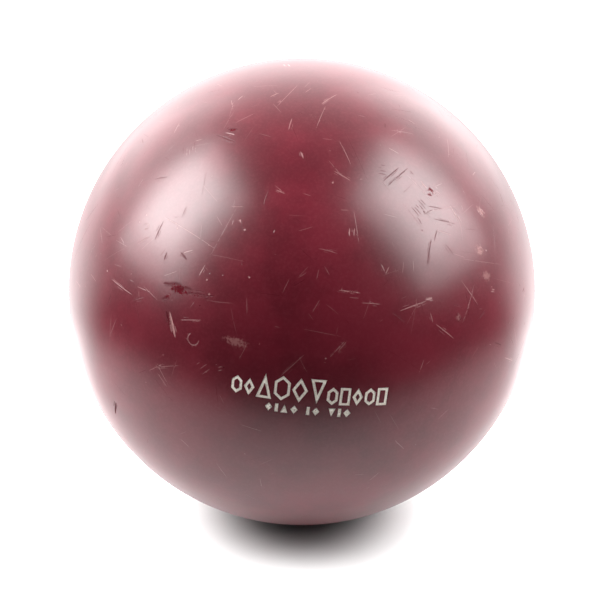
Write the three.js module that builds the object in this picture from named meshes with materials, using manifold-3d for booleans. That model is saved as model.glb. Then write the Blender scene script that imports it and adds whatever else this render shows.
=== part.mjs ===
// A drilled bowling ball: a hard burgundy cover shell over a filler core with a pancake
// weight block, a locating pin, two finger inserts, a thumb slug and an engraved, filled mark.
// Millimetres, +Z up. The origin is the ball's centre and the engraved mark faces -Y.
import * as THREE from 'three';
import { mergeVertices } from 'three/addons/utils/BufferGeometryUtils.js';
import Module from 'manifold-3d';

const wasm = await Module();
wasm.setup();

// Driving dimensions, in millimetres.
const BALL_RADIUS = 108.6;
const COVER_THICKNESS = 25.4;
const GAP = 0.3; // clearance left between pieces that touch
const BLOCK_RADIUS = 50;
const BLOCK_SEAT = 60; // distance from the ball's centre to the floor of the block's pocket
const PIN_RADIUS = 6;
const FINGER_DRILL_RADIUS = 12.3;
const FINGER_DRILL_DEPTH = 31;
const FINGER_BRIDGE = 8.5; // width of cover left between the two finger holes
const INSERT_BORE_RADIUS = 8.75;
const INSERT_LENGTH = 28.6;
const SLUG_RADIUS = 15.9;
const SLUG_LENGTH = 69.9;
const THUMB_BORE_RADIUS = 12;
const THUMB_BORE_DEPTH = 63.5;
const MARK_DEPTH = 1.3; // engraving depth below the plane that touches the ball at a glyph
const FILL_TOP = -0.4;
const FILL_THICKNESS = 0.6;
const STROKE = 1.1;
const DRILL_OVERSHOOT = 12; // how far a cutting tool starts outside the ball

// Driving angles, in degrees. Azimuth turns from +X towards +Y, elevation rises from the XY plane.
const FINGER_AZIMUTH = 101;
const THUMB_AZIMUTH = 169;
const FINGER_AXIS = 90; // the azimuth that the finger holes run out along, level and parallel
const THUMB_AXIS = 180;
const MARK_AZIMUTH = -88.1;
const MARK_ELEVATION = -2.8;
const MARK_TILT = -6.3;

// Facets around each round shape.
const OUTER_FACETS = 60;
const INNER_FACETS = 36;
const BORE_FACETS = 28;
const PIN_FACETS = 24;

const COLOURS = {
  cover: { color: 0x6b1420, roughness: 0.3, metalness: 0 },
  core: { color: 0x8d857a, roughness: 0.9, metalness: 0 },
  block: { color: 0x3d3a38, roughness: 0.8, metalness: 0 },
  pin: { color: 0xd9c9a8, roughness: 0.5, metalness: 0 },
  insert: { color: 0x1f1f22, roughness: 0.65, metalness: 0 },
  slug: { color: 0x26262a, roughness: 0.4, metalness: 0 },
  fill: { color: 0xe1d7c8, roughness: 0.6, metalness: 0 },
};

const radians = THREE.MathUtils.degToRad;

// A three.js geometry as a solid that can be joined and cut.
function toSolid(geometry) {
  const bare = geometry.clone();
  bare.deleteAttribute('normal');
  bare.deleteAttribute('uv');
  const merged = mergeVertices(bare);
  const vertProperties = new Float32Array(merged.attributes.position.array);
  const triVerts = new Uint32Array(merged.index.array);
  return new wasm.Manifold(new wasm.Mesh({ numProp: 3, vertProperties, triVerts }));
}

function toGeometry(solid) {
  const mesh = solid.getMesh();
  const geometry = new THREE.BufferGeometry();
  geometry.setAttribute('position', new THREE.BufferAttribute(mesh.vertProperties, 3));
  geometry.setIndex(new THREE.BufferAttribute(mesh.triVerts, 1));
  geometry.computeVertexNormals();
  return geometry;
}

const sphere = (radius, facets) => toSolid(
  new THREE.SphereGeometry(radius, facets, facets / 2).rotateX(Math.PI / 2),
);

// A frame that stands on the ball, with +Z pointing out along the given direction.
function outwardFrame(azimuth, elevation) {
  const [a, e] = [radians(azimuth), radians(elevation)];
  const out = new THREE.Vector3(Math.cos(e) * Math.cos(a), Math.cos(e) * Math.sin(a), Math.sin(e));
  const right = new THREE.Vector3(-Math.sin(a), Math.cos(a), 0);
  const up = new THREE.Vector3().crossVectors(out, right);
  return new THREE.Matrix4().makeBasis(right, up, out);
}

// The frame of a drilled hole: its origin is the mouth's centre, on the ball's surface, and the
// hole runs in level from there. It is pitched towards the palm, so it misses the ball's centre.
function holeFrame(azimuth, elevation, axisAzimuth) {
  const mouth = new THREE.Vector3(0, 0, BALL_RADIUS).applyMatrix4(outwardFrame(azimuth, elevation));
  return outwardFrame(axisAzimuth, 0).setPosition(mouth);
}

// A round bar along +Z of a frame, between two heights.
function bar(frame, radius, low, high, facets) {
  const geometry = new THREE.CylinderGeometry(radius, radius, high - low, facets);
  geometry.rotateX(Math.PI / 2).translate(0, 0, (low + high) / 2);
  return toSolid(geometry.applyMatrix4(frame));
}

// The three holes of the grip, and the line through the middle of the grip.
const fingerSpacing = 2 * FINGER_DRILL_RADIUS + FINGER_BRIDGE;
const fingerElevation = THREE.MathUtils.radToDeg(Math.asin(fingerSpacing / 2 / BALL_RADIUS));
const upperFinger = holeFrame(FINGER_AZIMUTH, fingerElevation, FINGER_AXIS);
const lowerFinger = holeFrame(FINGER_AZIMUTH, -fingerElevation, FINGER_AXIS);
const thumb = holeFrame(THUMB_AZIMUTH, 0, THUMB_AXIS);
const gripCentre = outwardFrame((FINGER_AZIMUTH + THUMB_AZIMUTH) / 2, 0);

const thumbDrillRadius = SLUG_RADIUS + GAP;
const thumbDrillDepth = SLUG_LENGTH + GAP;
const insertRadius = FINGER_DRILL_RADIUS - GAP;
const gripDrills = [
  bar(upperFinger, FINGER_DRILL_RADIUS, -FINGER_DRILL_DEPTH, DRILL_OVERSHOOT, BORE_FACETS),
  bar(lowerFinger, FINGER_DRILL_RADIUS, -FINGER_DRILL_DEPTH, DRILL_OVERSHOOT, BORE_FACETS),
  bar(thumb, thumbDrillRadius, -thumbDrillDepth, DRILL_OVERSHOOT, BORE_FACETS),
];
const drilled = (solid) => gripDrills.reduce((rest, drill) => rest.subtract(drill), solid);

// Outlines of the mark's glyphs: plain polygons in a box of the given width and height.
const OUTLINES = {
  oblong: [[-0.5, -0.5], [0.5, -0.5], [0.5, 0.5], [-0.5, 0.5]],
  diamond: [[0, -0.5], [0.5, 0], [0, 0.5], [-0.5, 0]],
  hexagon: [[0, -0.5], [0.5, -0.25], [0.5, 0.25], [0, 0.5], [-0.5, 0.25], [-0.5, -0.25]],
  wedge: [[-0.5, -0.5], [0.5, -0.5], [0, 0.5]],
  vee: [[0, -0.5], [0.5, 0.5], [-0.5, 0.5]],
};
const polygon = (kind, width, height) => OUTLINES[kind].map(
  ([x, y]) => new THREE.Vector2(x * width, y * height),
);

// Moves every side of an anticlockwise polygon outwards by a distance, keeping mitred corners.
function offsetPolygon(points, distance) {
  return points.map((point, i) => {
    const before = points[(i + points.length - 1) % points.length];
    const after = points[(i + 1) % points.length];
    const sideIn = point.clone().sub(before).normalize();
    const sideOut = after.clone().sub(point).normalize();
    const normalIn = new THREE.Vector2(sideIn.y, -sideIn.x);
    const normalOut = new THREE.Vector2(sideOut.y, -sideOut.x);
    const mitre = normalIn.clone().add(normalOut).normalize();
    return point.clone().addScaledVector(mitre, distance / mitre.dot(normalIn));
  });
}

// A plate of a glyph's outline, hollow inside its stroke unless the glyph is solid.
// `spare` widens the stroke on both sides, for the engraving that the fill sits in.
function glyphPlate(glyph, spare, low, high) {
  const points = polygon(glyph.kind, glyph.width, glyph.height);
  const shape = new THREE.Shape(offsetPolygon(points, spare));
  if (!glyph.solid) {
    shape.holes.push(new THREE.Path(offsetPolygon(points, -STROKE - spare).reverse()));
  }
  const plate = new THREE.ExtrudeGeometry(shape, { depth: high - low, bevelEnabled: false });
  return plate.translate(0, 0, low);
}

// The mark: an upper row of outlined glyphs on one baseline, and a lower row of small solid ones.
const LARGE = { width: 6.9, height: 11.6 };
const SMALL = { width: 4.8, height: 8.4 };
const TINY = { width: 3.2, height: 4.2, solid: true };
const TINY_BAR = { width: 1.5, height: 4.2, solid: true };
const UPPER_ROW = [
  ['hexagon', SMALL], ['diamond', SMALL],
  ['wedge', LARGE], ['hexagon', LARGE], ['diamond', LARGE], ['vee', LARGE],
  ['hexagon', SMALL], ['oblong', SMALL], ['diamond', SMALL], ['hexagon', SMALL], ['oblong', SMALL],
];
const LOWER_ROW = [
  ['diamond', TINY], ['oblong', TINY_BAR], ['wedge', TINY], ['diamond', TINY],
  null,
  ['oblong', TINY_BAR], ['diamond', TINY],
  null,
  ['vee', TINY], ['oblong', TINY_BAR], ['diamond', TINY],
];
const UPPER_SPACE = 0.65;
const LOWER_SPACE = 1.0;
const WORD_SPACE = 1.6;
const LOWER_ROW_RISE = -9.4; // from the middle of the upper row's large glyphs

// Sets a row of glyphs side by side about its middle. `at` is the distance along the row and
// `rise` the distance above the row's line, both measured on the ball's surface.
function setRow(row, space, rise, baseHeight) {
  const widthOf = (entry) => (entry ? entry[1].width : WORD_SPACE);
  const total = row.reduce((sum, entry) => sum + widthOf(entry) + space, -space);
  let edge = -total / 2;
  return row.map((entry) => {
    const at = edge + widthOf(entry) / 2;
    edge += widthOf(entry) + space;
    if (!entry) return null;
    const [kind, size] = entry;
    return { kind, ...size, at, rise: rise - (baseHeight - size.height) / 2 };
  }).filter(Boolean);
}

const markFrame = outwardFrame(MARK_AZIMUTH, MARK_ELEVATION)
  .multiply(new THREE.Matrix4().makeRotationZ(radians(MARK_TILT)));

function glyphFrame({ at, rise }) {
  return markFrame.clone()
    .multiply(new THREE.Matrix4().makeRotationY(at / BALL_RADIUS))
    .multiply(new THREE.Matrix4().makeRotationX(-rise / BALL_RADIUS))
    .multiply(new THREE.Matrix4().makeTranslation(0, 0, BALL_RADIUS));
}

const glyphs = [
  ...setRow(UPPER_ROW, UPPER_SPACE, 0, LARGE.height),
  ...setRow(LOWER_ROW, LOWER_SPACE, LOWER_ROW_RISE, TINY.height),
];

// The cover: a thick shell, open to its cavity through the grip holes and the pin's hole.
function coverSolid() {
  const cavity = sphere(BALL_RADIUS - COVER_THICKNESS, INNER_FACETS);
  const pinHole = bar(gripCentre, PIN_RADIUS + GAP, BLOCK_SEAT, BALL_RADIUS + DRILL_OVERSHOOT, PIN_FACETS);
  const engraving = glyphs.map((glyph) => toSolid(
    glyphPlate(glyph, GAP, -MARK_DEPTH, MARK_DEPTH).applyMatrix4(glyphFrame(glyph)),
  ));
  const shell = drilled(sphere(BALL_RADIUS, OUTER_FACETS).subtract(cavity)).subtract(pinHole);
  return engraving.reduce((rest, groove) => rest.subtract(groove), shell);
}

const coreSphere = () => sphere(BALL_RADIUS - COVER_THICKNESS - GAP, INNER_FACETS);

// The core: a filler ball with a round pocket for the weight block, drilled through for the grip.
function coreSolid() {
  const pocket = bar(gripCentre, BLOCK_RADIUS + GAP, BLOCK_SEAT, BALL_RADIUS, INNER_FACETS);
  return drilled(coreSphere().subtract(pocket));
}

// The weight block: a pancake under the grip, domed to the core's surface and nicked by the holes.
function blockSolid() {
  const disc = bar(gripCentre, BLOCK_RADIUS, BLOCK_SEAT + GAP, BALL_RADIUS, INNER_FACETS);
  return drilled(disc.intersect(coreSphere()));
}

// The pin: a plug from the weight block out to the ball's surface, in the middle of the grip.
function pinSolid() {
  const pin = bar(gripCentre, PIN_RADIUS, BALL_RADIUS - COVER_THICKNESS, BALL_RADIUS + GAP, PIN_FACETS);
  return pin.intersect(sphere(BALL_RADIUS - GAP / 2, OUTER_FACETS));
}

// A lining of a drilled hole, trimmed flush with the ball.
function liningSolid(frame, radius, length, boreRadius, boreDepth) {
  const body = bar(frame, radius, -length, DRILL_OVERSHOOT, BORE_FACETS);
  const bore = bar(frame, boreRadius, -boreDepth, 2 * DRILL_OVERSHOOT, BORE_FACETS);
  return body.subtract(bore).intersect(sphere(BALL_RADIUS - GAP / 2, OUTER_FACETS));
}

const ball = new THREE.Group();

function addPiece(name, geometry, colour) {
  const mesh = new THREE.Mesh(geometry, new THREE.MeshStandardMaterial(colour));
  mesh.name = name;
  ball.add(mesh);
  return mesh;
}

const insertSolid = (frame) => liningSolid(
  frame, insertRadius, INSERT_LENGTH, INSERT_BORE_RADIUS, INSERT_LENGTH + DRILL_OVERSHOOT,
);

addPiece('coverstock', toGeometry(coverSolid()), COLOURS.cover);
addPiece('inner_core', toGeometry(coreSolid()), COLOURS.core);
addPiece('weight_block', toGeometry(blockSolid()), COLOURS.block);
addPiece('core_pin', toGeometry(pinSolid()), COLOURS.pin);
addPiece('finger_insert_upper', toGeometry(insertSolid(upperFinger)), COLOURS.insert);
addPiece('finger_insert_lower', toGeometry(insertSolid(lowerFinger)), COLOURS.insert);
addPiece(
  'thumb_slug',
  toGeometry(liningSolid(thumb, SLUG_RADIUS, SLUG_LENGTH, THUMB_BORE_RADIUS, THUMB_BORE_DEPTH)),
  COLOURS.slug,
);

glyphs.forEach((glyph, i) => {
  const plate = glyphPlate(glyph, 0, FILL_TOP - FILL_THICKNESS, FILL_TOP);
  const number = String(i + 1).padStart(2, '0');
  addPiece(`mark_fill_${number}`, plate, COLOURS.fill).applyMatrix4(glyphFrame(glyph));
});

export default ball;
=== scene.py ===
# A used, drilled bowling ball standing on a white studio table.
# Shapes are worked out in millimetres about the ball's centre and written to Blender in metres.
import math

import bmesh
import bpy
import numpy as np
from mathutils import Matrix, Vector
from mathutils.geometry import delaunay_2d_cdt
from mathutils.kdtree import KDTree


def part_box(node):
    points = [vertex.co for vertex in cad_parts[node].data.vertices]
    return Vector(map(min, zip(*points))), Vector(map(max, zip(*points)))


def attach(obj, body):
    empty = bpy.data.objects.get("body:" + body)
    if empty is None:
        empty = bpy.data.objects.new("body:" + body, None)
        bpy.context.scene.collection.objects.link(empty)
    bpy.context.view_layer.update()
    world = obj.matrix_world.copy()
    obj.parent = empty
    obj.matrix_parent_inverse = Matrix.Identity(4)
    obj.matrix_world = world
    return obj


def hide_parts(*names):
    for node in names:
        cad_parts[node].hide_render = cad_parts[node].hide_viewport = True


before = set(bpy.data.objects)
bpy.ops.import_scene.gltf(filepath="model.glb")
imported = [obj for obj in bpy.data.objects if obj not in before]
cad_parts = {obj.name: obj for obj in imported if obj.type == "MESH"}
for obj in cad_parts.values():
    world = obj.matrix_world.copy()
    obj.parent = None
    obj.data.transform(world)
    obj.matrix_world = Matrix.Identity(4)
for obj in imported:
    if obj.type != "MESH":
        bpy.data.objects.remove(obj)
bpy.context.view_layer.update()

MM = 0.001
SEED = 41

# -------- sizes taken from the frame
cover_low, cover_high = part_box("coverstock")
BALL_RADIUS = (cover_high.z - cover_low.z) / 2 / MM
COVER_THICKNESS = 25.4
BODY = "root"

# -------- the camera
VIEW_ELEVATION = 20.0
CAMERA_DISTANCE = 1000.0
LENS = 128.25
SENSOR = 36.0
AIM = (-0.9, 3.9)  # what the camera points at: mm right of and below the ball's centre


def make_camera():
    lens = bpy.data.cameras.new("camera")
    lens.lens = LENS
    lens.sensor_width = SENSOR
    lens.clip_end = 20
    camera = bpy.data.objects.new("camera", lens)
    bpy.context.scene.collection.objects.link(camera)
    tilt = math.radians(VIEW_ELEVATION)
    place = Vector((0, -math.cos(tilt), math.sin(tilt))) * CAMERA_DISTANCE * MM
    turn = (-place).to_track_quat("-Z", "Y")
    right, up = turn @ Vector((1, 0, 0)), turn @ Vector((0, 1, 0))
    target = (right * AIM[0] - up * AIM[1]) * MM
    camera.rotation_mode = "QUATERNION"
    camera.rotation_quaternion = (target - place).to_track_quat("-Z", "Y")
    camera.location = place
    bpy.context.scene.camera = camera


make_camera()


# -------- directions on the ball
# Azimuth 0 faces -Y, where the mark is, and grows towards +X. Both angles are in degrees.
def direction(azimuth, elevation):
    a, e = math.radians(azimuth), math.radians(elevation)
    return np.array([math.sin(a) * math.cos(e), -math.cos(a) * math.cos(e), math.sin(e)])


def place_of(out):
    """Azimuth and elevation of a unit direction."""
    return math.degrees(math.atan2(out[0], -out[1])), math.degrees(math.asin(out[2]))


def ball_axes(azimuth, elevation, turn=0.0):
    """Right, up and out at a point of the ball, turned about out by some degrees."""
    out = direction(azimuth, elevation)
    right = direction(azimuth + 90, 0)
    up = np.cross(out, right)
    c, s = math.cos(math.radians(turn)), math.sin(math.radians(turn))
    return c * right + s * up, c * up - s * right, out


def on_ball(axes, x, y):
    """The unit direction reached by going x along and y across, in mm on the surface."""
    right, up, out = axes
    x, y = np.asarray(x, float), np.asarray(y, float)
    reach = np.hypot(x, y)
    angle = reach / BALL_RADIUS
    scale = np.where(reach > 1e-9, np.sin(angle) / np.maximum(reach, 1e-9), 1 / BALL_RADIUS)
    return (
        out * np.cos(angle)[..., None]
        + right * (x * scale)[..., None]
        + up * (y * scale)[..., None]
    )


# -------- turning directions into meshes
FLAT_SCALE = 200  # how large the flattened points are for the triangulation
RING_POINTS = 96
WELD = 0.02


def fibonacci(spacing, radius):
    """Directions spread evenly over a ball, about `spacing` mm apart on it."""
    count = int(4 * math.pi * radius**2 / (spacing**2 * math.sqrt(3) / 2))
    i = np.arange(count) + 0.5
    polar = np.arccos(1 - 2 * i / count)
    around = math.pi * (1 + math.sqrt(5)) * i
    return np.stack(
        [np.sin(polar) * np.cos(around), np.sin(polar) * np.sin(around), np.cos(polar)], axis=1
    )


def thin_out(lattice, features, clearance, radius):
    """The lattice directions that stay at least `clearance` mm from every feature point."""
    tree = KDTree(len(features))
    for i, u in enumerate(features):
        tree.insert(u, i)
    tree.balance()
    near = clearance / radius
    keep = [tree.find(u)[2] > near for u in lattice]
    return lattice[np.array(keep)]


def triangulate(points, edges, pole):
    """Delaunay triangles over directions, flattened from a pole that lies inside a hole.
    Returns the faces as triples of point numbers; no face crosses one of the edges."""
    helper = np.array([0, 0, 1.0]) if abs(pole[2]) < 0.9 else np.array([1.0, 0, 0])
    flat_x = np.cross(helper, pole)
    flat_x /= np.linalg.norm(flat_x)
    flat_y = np.cross(pole, flat_x)
    away = 1 - points @ pole
    flat = np.stack([points @ flat_x / away, points @ flat_y / away], axis=1) * FLAT_SCALE
    _, _, faces, origins, _, _ = delaunay_2d_cdt(
        [Vector(p) for p in flat], [tuple(e) for e in edges], [], 0, 1e-6, True
    )
    source = [ids[0] if ids else -1 for ids in origins]
    if -1 in source:
        raise RuntimeError("two constraint edges cross")
    return np.array([[source[v] for v in face] for face in faces])


def add_object(name, vertices, faces, material):
    """A mesh object from vertices in mm. Faces may be triangles and quads."""
    mesh = bpy.data.meshes.new(name)
    mesh.from_pydata((np.asarray(vertices) * MM).tolist(), [], [list(map(int, f)) for f in faces])
    mesh.polygons.foreach_set("use_smooth", [True] * len(mesh.polygons))
    mesh.materials.append(material)
    mesh.update()
    piece = bpy.data.objects.new(name, mesh)
    bpy.context.scene.collection.objects.link(piece)
    return piece


# -------- the drilled holes
class Hole:
    """A level round hole along an axis. Rings of it are cut by spheres about the ball's centre."""

    def __init__(self, azimuth, elevation, axis_azimuth, radius, bevel):
        self.mouth = direction(azimuth, elevation) * BALL_RADIUS
        self.side, self.rise, self.axis = ball_axes(axis_azimuth, 0)
        self.radius = radius
        self.bevel = bevel

    def ring(self, radius, sphere=None, depth=None):
        """Points around the hole where it meets a sphere, or at a depth below its mouth."""
        angle = np.arange(RING_POINTS) * 2 * math.pi / RING_POINTS
        foot = self.mouth + (
            np.cos(angle)[:, None] * self.side + np.sin(angle)[:, None] * self.rise
        ) * radius
        if depth is not None:
            return foot - self.axis * depth
        along = foot @ self.axis
        climb = -along + np.sqrt(along**2 - (foot * foot).sum(axis=1) + sphere**2)
        return foot + self.axis * climb[:, None]

    def holds(self, points, radius):
        """Which points lie inside the hole's cylinder, on its mouth's side of the ball."""
        offset = points - self.mouth
        along = offset @ self.axis
        across = np.linalg.norm(offset - along[:, None] * self.axis, axis=1)
        return (across < radius) & (points @ self.axis > 0)


def bridge(first, second, count=RING_POINTS):
    """Quads between two rings of `count` vertices that start at the given numbers."""
    return [
        (first + i, first + (i + 1) % count, second + (i + 1) % count, second + i)
        for i in range(count)
    ]


def lathe_rings(rings, closed):
    """Vertices and quads of rings joined in order; closed joins the last to the first."""
    count = len(rings[0])
    vertices = np.concatenate(rings)
    faces = []
    for i in range(len(rings) - 1 + int(closed)):
        faces += bridge(i * count, (i + 1) % len(rings) * count, count)
    return vertices, faces


INNER_RADIUS = BALL_RADIUS - COVER_THICKNESS
FINGER_RADIUS = 12.3
THUMB_RADIUS = 16.2
PIN_RADIUS = 6.0
HOLE_BEVEL = 0.7
LINER_GAP = 0.06  # between a hole and the insert or slug in it
FINGER_RISE = math.degrees(math.asin((2 * FINGER_RADIUS + 8.5) / 2 / BALL_RADIUS))
PIN_AZIMUTH = -135
upper_finger = Hole(-169, FINGER_RISE, 180, FINGER_RADIUS, HOLE_BEVEL)
lower_finger = Hole(-169, -FINGER_RISE, 180, FINGER_RADIUS, HOLE_BEVEL)
thumb = Hole(-101, 0, -90, THUMB_RADIUS, HOLE_BEVEL)
pin_hole = Hole(PIN_AZIMUTH, 0, PIN_AZIMUTH, PIN_RADIUS, 0.12)
HOLES = [upper_finger, lower_finger, thumb, pin_hole]

# -------- the mark
STROKE = 1.3
OUTLINE_SPACING = 0.9
MARK_AZIMUTH = 1.9
MARK_ELEVATION = -2.8
MARK_TILT = -6.3
LARGE = (6.9, 11.6)
SMALL = (4.8, 8.4)
TINY = (3.2, 4.2)
TINY_BAR = (1.5, 4.2)
UPPER_SPACE = 0.65
LOWER_SPACE = 1.0
WORD_SPACE = 1.6
LOWER_ROW_RISE = -9.4
OUTLINES = {
    "oblong": [(-0.5, -0.5), (0.5, -0.5), (0.5, 0.5), (-0.5, 0.5)],
    "diamond": [(0, -0.5), (0.5, 0), (0, 0.5), (-0.5, 0)],
    "hexagon": [(0, -0.5), (0.5, -0.25), (0.5, 0.25), (0, 0.5), (-0.5, 0.25), (-0.5, -0.25)],
    "wedge": [(-0.5, -0.5), (0.5, -0.5), (0, 0.5)],
    "vee": [(0, -0.5), (0.5, 0.5), (-0.5, 0.5)],
}
UPPER_ROW = [
    ("hexagon", SMALL), ("diamond", SMALL),
    ("wedge", LARGE), ("hexagon", LARGE), ("diamond", LARGE), ("vee", LARGE),
    ("hexagon", SMALL), ("oblong", SMALL), ("diamond", SMALL), ("hexagon", SMALL),
    ("oblong", SMALL),
]
LOWER_ROW = [
    ("diamond", TINY), ("oblong", TINY_BAR), ("wedge", TINY), ("diamond", TINY),
    None,
    ("oblong", TINY_BAR), ("diamond", TINY),
    None,
    ("vee", TINY), ("oblong", TINY_BAR), ("diamond", TINY),
]


class Glyph:
    """One plain shape of the mark: an outline with a stroke, or a solid shape in the lower row."""

    def __init__(self, kind, size, at, rise, solid):
        self.corners = np.array(OUTLINES[kind]) * size
        self.solid = solid
        row = Matrix(np.array(ball_axes(MARK_AZIMUTH, MARK_ELEVATION, MARK_TILT)).T.tolist())
        turn = Matrix.Rotation(at / BALL_RADIUS, 3, "Y")
        lift = Matrix.Rotation(-rise / BALL_RADIUS, 3, "X")
        self.axes = np.array(row @ turn @ lift).T

    def loop(self, offset):
        """Points along the outline, moved outwards by an offset; their number never changes."""
        corners = self.corners
        before, after = np.roll(corners, 1, axis=0), np.roll(corners, -1, axis=0)
        normals = []
        for a, b in ((before, corners), (corners, after)):
            side = (b - a) / np.linalg.norm(b - a, axis=1)[:, None]
            normals.append(np.stack([side[:, 1], -side[:, 0]], axis=1))
        mitre = normals[0] + normals[1]
        mitre /= np.linalg.norm(mitre, axis=1)[:, None]
        moved = corners + mitre * (offset / (mitre * normals[0]).sum(axis=1))[:, None]
        points = []
        for i, corner in enumerate(moved):
            steps = max(2, round(np.linalg.norm(after[i] - corners[i]) / OUTLINE_SPACING))
            share = (np.arange(steps) / steps)[:, None]
            points.append(corner + (moved[(i + 1) % len(moved)] - corner) * share)
        return np.concatenate(points)

    def on_ball(self, offset):
        flat = self.loop(offset)
        return on_ball(self.axes, flat[:, 0], flat[:, 1])


def set_row(row, space, rise, tallest, solid):
    widths = [entry[1][0] if entry else WORD_SPACE for entry in row]
    edge = -(sum(widths) + space * (len(row) - 1)) / 2
    glyphs = []
    for entry, width in zip(row, widths):
        if entry:
            kind, size = entry
            lowered = rise - (tallest - size[1]) / 2
            glyphs.append(Glyph(kind, size, edge + width / 2, lowered, solid))
        edge += width + space
    return glyphs


GLYPHS = set_row(UPPER_ROW, UPPER_SPACE, 0, LARGE[1], False)
GLYPHS += set_row(LOWER_ROW, LOWER_SPACE, LOWER_ROW_RISE, TINY[1], True)

# -------- wear on the cover, the tones of its grooves partly painted glints and painted shade
# Every place is given as the photo shows it: mm to the right of the ball's middle, and mm above it.
# A cut: its place, how it is turned (0 runs right, 90 up), its length and width in mm, how pale (+)
# or dark (-) its groove is, and its depth where it is deeper than a scratch. The tone is partly the
# groove's own frosting or dirt, and partly painted light: cuts in the dark middle are painted pale
# as glints, and most cuts in the highlights are painted dark as shade where they break the
# reflection.
CUTS = [
    # the long gouge left of the mark, a dark cut as the painted shadow of its edge, and the nick at
    # the lower left
    (-55, -14, -78, 12, 0.8, 0.9, 0.2), (-57, -11, -78, 7, 0.7, -1.0, 0.16),
    (-83, -52, 80, 6, 0.9, -1.0, 0.2),
    # strokes round the top
    (-8, 102, -60, 2, 0.6, 1.0), (-6, 102, -57, 2, 0.6, 1.0), (-27, 85, 45, 4, 0.4, 0.45),
    (-12, 86, 25, 5, 0.4, 0.5), (12, 84, 35, 9, 0.35, 0.45), (60, 88, -20, 5, 0.4, -0.4),
    (0, 58, -70, 4, 0.5, 0.45), (36, 72, 85, 3, 0.45, -0.35), (-5, 72, 75, 6, 0.35, 0.4),
    # the left highlight
    (-33, 66, -22, 10, 0.6, -0.7), (-30, 70, 5, 5, 0.9, -0.7), (-31, 68, -15, 5, 0.35, 0.45),
    (-61, 49, 8, 7, 0.45, -0.65), (-61, 26, 65, 10, 0.45, -0.65), (-58, 15, 70, 4.5, 0.55, -0.65),
    (-50, 15, -50, 5, 0.75, -0.7), (-48, 17, 15, 5, 0.35, 0.45), (-42, 9, 60, 6, 0.35, 0.5),
    (-80, 34, -65, 5, 0.45, -0.4), (-71, 67, -70, 3, 0.45, -0.4), (-55, 72, 65, 6, 0.3, 0.4),
    (-103, 28, 75, 5, 0.5, 0.35), (-50, 34, 65, 6, 0.3, -0.4), (-68, 22, 30, 7, 0.3, 0.35),
    # below the left highlight
    (-47, -12, 0, 10, 0.25, 0.4), (-78, 2, -35, 12, 0.3, 0.4), (-84, -4, 70, 6, 0.3, -0.4),
    (-70, -3, 15, 6, 0.4, -0.3), (-58, -32, 5, 12, 0.25, 0.3), (-60, -38, -55, 8, 0.25, 0.3),
    # the dark middle
    (-9, 42, -25, 5, 0.35, 0.4), (17, 49, -30, 9, 0.35, 0.4), (20, 25, 87, 4, 0.4, 0.5),
    (22, 25, 85, 4, 0.35, 0.45), (34, 10, -65, 4, 0.35, 0.45), (36, 9, 65, 4, 0.35, 0.45),
    (20, 0, -8, 10, 0.35, 0.5), (29, -5, -4, 9, 0.3, 0.45), (11, 17, -15, 9, 0.25, 0.3),
    (47, -6, 20, 13, 0.35, 0.5), (54, -3, 12, 4, 0.8, 0.6), (6, -6, 60, 7, 0.25, 0.3),
    (55, -11, -75, 5, 0.35, 0.45), (61, -17, -38, 11, 0.3, 0.45), (15, -24, 48, 10, 0.3, 0.45),
    (17, -23, 50, 6, 0.25, 0.4), (-4, -31, 43, 15, 0.25, 0.3),
    # the right highlight
    (38, 50, 42, 10, 0.4, -0.65), (41, 49, 42, 13, 0.4, -0.65), (47, 51, -50, 3, 0.45, -0.5),
    (52, 46, -50, 5, 0.4, 0.5), (57, 36, -8, 7, 0.35, -0.55), (54, 34, 30, 5, 0.35, -0.5),
    (61, 30, -12, 11, 0.35, -0.55), (50, 30, -60, 4, 0.35, -0.5), (66, 33, -60, 9, 0.4, 0.5),
    (54, 17, 80, 12, 0.4, -0.65), (57, 24, 75, 6, 0.4, -0.5), (63, 18, -50, 7, 0.4, -0.45),
    # the lower right and the rim
    (99, 1, 60, 3, 0.6, -0.55), (78, -10, 50, 6, 0.35, -0.4), (86, -23, -20, 4, 0.6, -0.55),
    (92, -30, -20, 5, 0.4, 0.4), (90, 55, -55, 8, 0.35, 0.4), (95, 40, -60, 5, 0.35, 0.4),
    # strokes that make up the dark smear left of the middle
    (-57, 3, -15, 4.5, 1.6, -0.7), (-52, 1, 5, 7.5, 2.2, -0.7), (-54, 3, -5, 6, 1.8, -0.6),
    (-48, 1, -30, 4, 1.6, -0.6), (-58, -3, 20, 3.5, 1.6, -0.6), (-45, -1, -5, 9, 0.8, -0.7),
    (-39, -2, 5, 5, 0.6, -0.5),
]

# Chatter: short parallel cuts. The place of the middle, how each cut is turned, how many, the step
# between them, their length and width in mm, and their tone, which is partly painted glint and
# painted shade as with the cuts.
CHATTER = [
    (-49, 62, -50, 5, 1.4, 5.5, 0.3, -0.4),
    (-48, 61, -50, 4, 1.4, 5.5, 0.2, 0.35),
    (34, 52, -20, 4, 1.5, 4.5, 0.35, -0.5),
    (50, 36, -65, 6, 1.3, 6.0, 0.35, -0.55),
    (58, 43, -55, 3, 1.6, 5.5, 0.3, 0.3),
    (78, 35, -70, 4, 0.9, 5.5, 0.4, 0.5),
    (77, 18, -30, 4, 0.9, 4.0, 0.4, 0.4),
    (83, 1, -20, 3, 1.0, 3.5, 0.4, 0.4),
    (67, -11, 30, 4, 1.0, 3.5, 0.35, -0.4),
    (-42, -32, 40, 3, 2.4, 6.0, 0.25, 0.3),
    (-35, -32, 20, 3, 1.4, 3.0, 0.3, 0.4),
]

# Rings: the place of the middle, radius and width in mm, tone, and where the gap of the ring begins
# and ends, in degrees.
RINGS = [(-46, -20, 2.6, 0.45, 0.28, -10, 130), (-67, 28, 1.3, 0.3, 0.4, 180, 250)]

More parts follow.
